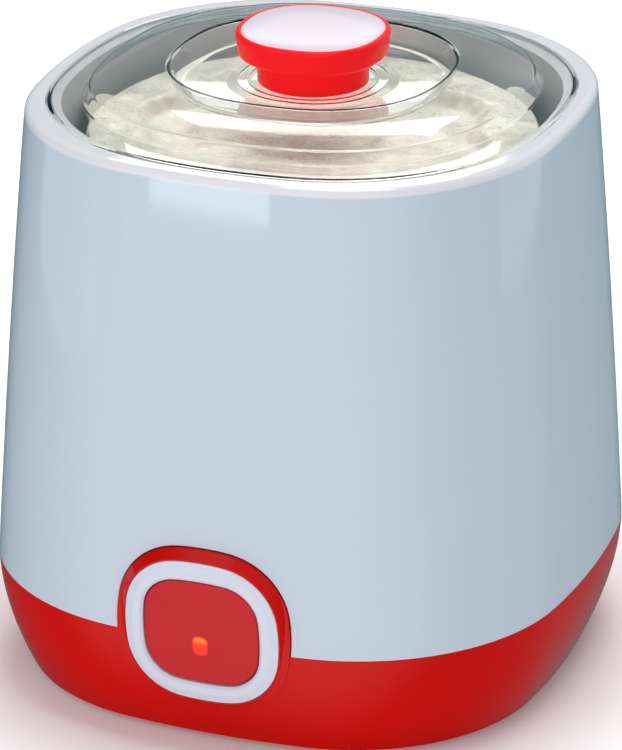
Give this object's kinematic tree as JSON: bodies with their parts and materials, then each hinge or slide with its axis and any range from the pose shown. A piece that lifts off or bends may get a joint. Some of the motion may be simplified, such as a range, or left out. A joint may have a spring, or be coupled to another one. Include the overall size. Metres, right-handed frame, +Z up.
{
  "type": "yogurt maker",
  "caption": "Countertop yogurt maker: rounded-square tapered housing on a coloured base, clear dished lid with knob, inner container on a warm plate, front button.",
  "frame": {"origin": "on the resting surface under the middle of the body", "axes": "+Z up, front panel facing -Y, +X to the right seen from the front"},
  "size_m": [0.172, 0.1744, 0.1871],
  "materials": {
    "housing_white": "high-gloss white moulding",
    "base_red": "gloss red moulding",
    "liner_grey": "smooth grey-white moulding",
    "lid_clear": "clear polished plastic",
    "knob_red": "gloss red moulding",
    "cap_white": "gloss white insert",
    "container_milky": "milky translucent plastic",
    "ring_white": "gloss white moulding",
    "button_red": "tinted translucent red plastic",
    "led_amber": "lit amber lens",
    "resistor_tan": "lacquered",
    "board_green": "solder-masked laminate",
    "steel": "zinc plated",
    "aluminium": "satin",
    "silicone": "soft silicone",
    "heater_mat": "polyimide film",
    "black_plastic": "fine-grained black",
    "rubber_black": "matt",
    "nylon_white": "natural nylon",
    "wire_sleeve": "glass-fibre and silicone sleeve"
  },
  "bodies": {
    "housing": {"housing_shell": "housing_white", "base_shell": "base_red", "well_liner": "liner_grey", "panel_ring": "ring_white", "power_switch": "black_plastic", "indicator_led": "led_amber", "led_resistor": "resistor_tan", "indicator_board": "board_green", "board_screws": "steel", "heating_plate": "aluminium", "plate_seal": "silicone", "heater_element": "heater_mat", "heater_clamp": "steel", "clamp_screws": "steel", "thermostat": "black_plastic", "thermostat_screws": "steel", "thermal_fuse": "aluminium", "base_screws": "steel", "rubber_feet": "rubber_black", "cord_gland": "black_plastic", "terminal_block": "nylon_white", "lead_supply_thermostat": "wire_sleeve", "lead_supply_heater": "wire_sleeve", "lead_thermostat_fuse": "wire_sleeve", "lead_supply_board": "wire_sleeve"},
    "button": {"power_button": "button_red", "switch_plunger": "black_plastic"},
    "container": {"container": "container_milky"},
    "container_lid": {"container_lid": "container_milky"},
    "lid": {"outer_lid": "lid_clear", "lid_knob": "knob_red", "knob_cap": "cap_white", "knob_screw": "steel", "knob_washer": "steel"}
  },
  "joints": [
    {"name": "button_press", "type": "slide", "parent": "housing", "child": "button", "axis": [0, 0.9976, 0.0698], "range_m": [0, 0.002], "stiffness_N_per_m": 800, "springref_m": -0.001},
    {"name": "container_lift", "type": "slide", "parent": "housing", "child": "container", "axis": [0, 0, 1], "range_m": [0, 0.13]},
    {"name": "container_lid_lift", "type": "slide", "parent": "container", "child": "container_lid", "axis": [0, 0, 1], "range_m": [0, 0.05]},
    {"name": "lid_lift", "type": "slide", "parent": "container_lid", "child": "lid", "axis": [0, 0, 1], "range_m": [0, 0.06]}
  ]
}
